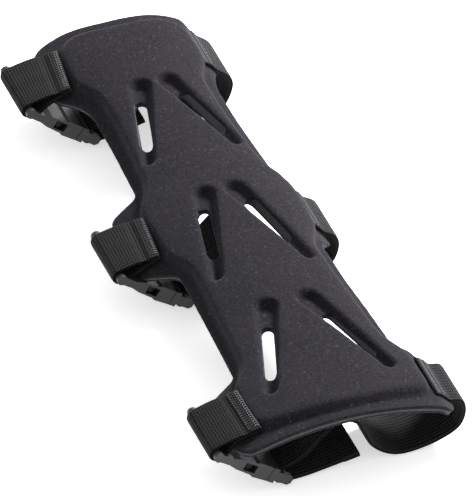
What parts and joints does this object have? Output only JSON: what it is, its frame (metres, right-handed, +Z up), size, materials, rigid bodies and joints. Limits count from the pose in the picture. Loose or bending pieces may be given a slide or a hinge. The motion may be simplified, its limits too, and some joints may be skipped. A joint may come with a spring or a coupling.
{
  "type": "forearm guard",
  "caption": "Arched foam forearm guard covered in dark fabric, with winged sides, slanted vent slots, elastic straps and side-release buckles.",
  "frame": {"origin": "centre of the guard's box, on the level that its straps stand on", "axes": "+Y along the arm from the elbow edge to the wrist edge, +Z up through the padded face, X across the arm"},
  "size_m": [0.1078, 0.272, 0.0359],
  "materials": {
    "cover_fabric": "matt knitted face, slightly brushed",
    "lining_fabric": "matt",
    "moulded_foam": "matt closed-cell foam",
    "elastic_webbing": "matt, ribbed lengthwise",
    "loop_webbing": "matt, woven",
    "thread": "slight sheen",
    "buckle_plastic": "satin moulded"
  },
  "bodies": {
    "guard": {"inner_lining": "lining_fabric", "foam_core": "moulded_foam", "outer_cover": "cover_fabric", "buckle_loop_elbow": "loop_webbing", "loop_stitching_elbow": "thread", "elastic_strap_elbow": "elastic_webbing", "strap_stitching_elbow": "thread", "buckle_socket_elbow": "buckle_plastic", "buckle_loop_middle": "loop_webbing", "loop_stitching_middle": "thread", "elastic_strap_middle": "elastic_webbing", "strap_stitching_middle": "thread", "buckle_socket_middle": "buckle_plastic", "buckle_loop_wrist": "loop_webbing", "loop_stitching_wrist": "thread", "elastic_strap_wrist": "elastic_webbing", "strap_stitching_wrist": "thread", "buckle_socket_wrist": "buckle_plastic"},
    "plug_elbow": {"buckle_plug_elbow": "buckle_plastic"},
    "elbow_side_prong_elbow": {"elbow_side_prong_elbow": "buckle_plastic"},
    "wrist_side_prong_elbow": {"wrist_side_prong_elbow": "buckle_plastic"},
    "plug_middle": {"buckle_plug_middle": "buckle_plastic"},
    "elbow_side_prong_middle": {"elbow_side_prong_middle": "buckle_plastic"},
    "wrist_side_prong_middle": {"wrist_side_prong_middle": "buckle_plastic"},
    "plug_wrist": {"buckle_plug_wrist": "buckle_plastic"},
    "elbow_side_prong_wrist": {"elbow_side_prong_wrist": "buckle_plastic"},
    "wrist_side_prong_wrist": {"wrist_side_prong_wrist": "buckle_plastic"}
  },
  "joints": [
    {"name": "plug_slide_elbow", "type": "slide", "parent": "guard", "child": "plug_elbow", "axis": [0.8317, 0, -0.5552], "range_m": [0, 0.012], "deforming": ["elastic_strap_elbow"]},
    {"name": "elbow_side_prong_flex_elbow", "type": "hinge", "parent": "plug_elbow", "child": "elbow_side_prong_elbow", "pos_m": [-0.03087, -0.123, 0.00954], "axis": [0.5552, 0, 0.8317], "range_deg": [-25, 0]},
    {"name": "wrist_side_prong_flex_elbow", "type": "hinge", "parent": "plug_elbow", "child": "wrist_side_prong_elbow", "pos_m": [-0.03087, -0.105, 0.00954], "axis": [0.5552, 0, 0.8317], "range_deg": [0, 25]},
    {"name": "plug_slide_middle", "type": "slide", "parent": "guard", "child": "plug_middle", "axis": [0.8234, 0, -0.5675], "range_m": [0, 0.012], "deforming": ["elastic_strap_middle"]},
    {"name": "elbow_side_prong_flex_middle", "type": "hinge", "parent": "plug_middle", "child": "elbow_side_prong_middle", "pos_m": [-0.02807, -0.0065, 0.00966], "axis": [0.5675, 0, 0.8234], "range_deg": [-25, 0]},
    {"name": "wrist_side_prong_flex_middle", "type": "hinge", "parent": "plug_middle", "child": "wrist_side_prong_middle", "pos_m": [-0.02807, 0.0115, 0.00966], "axis": [0.5675, 0, 0.8234], "range_deg": [0, 25]},
    {"name": "plug_slide_wrist", "type": "slide", "parent": "guard", "child": "plug_wrist", "axis": [0.7991, 0, -0.6012], "range_m": [0, 0.012], "deforming": ["elastic_strap_wrist"]},
    {"name": "elbow_side_prong_flex_wrist", "type": "hinge", "parent": "plug_wrist", "child": "elbow_side_prong_wrist", "pos_m": [-0.02602, 0.105, 0.00998], "axis": [0.6012, 0, 0.7991], "range_deg": [-25, 0]},
    {"name": "wrist_side_prong_flex_wrist", "type": "hinge", "parent": "plug_wrist", "child": "wrist_side_prong_wrist", "pos_m": [-0.02602, 0.123, 0.00998], "axis": [0.6012, 0, 0.7991], "range_deg": [0, 25]}
  ],
  "couplings": [
    {"joint": "elbow_side_prong_flex_elbow", "follows": "plug_slide_elbow", "rad_per_m": -36},
    {"joint": "wrist_side_prong_flex_elbow", "follows": "plug_slide_elbow", "rad_per_m": 36},
    {"joint": "elbow_side_prong_flex_middle", "follows": "plug_slide_middle", "rad_per_m": -36},
    {"joint": "wrist_side_prong_flex_middle", "follows": "plug_slide_middle", "rad_per_m": 36},
    {"joint": "elbow_side_prong_flex_wrist", "follows": "plug_slide_wrist", "rad_per_m": -36},
    {"joint": "wrist_side_prong_flex_wrist", "follows": "plug_slide_wrist", "rad_per_m": 36}
  ]
}
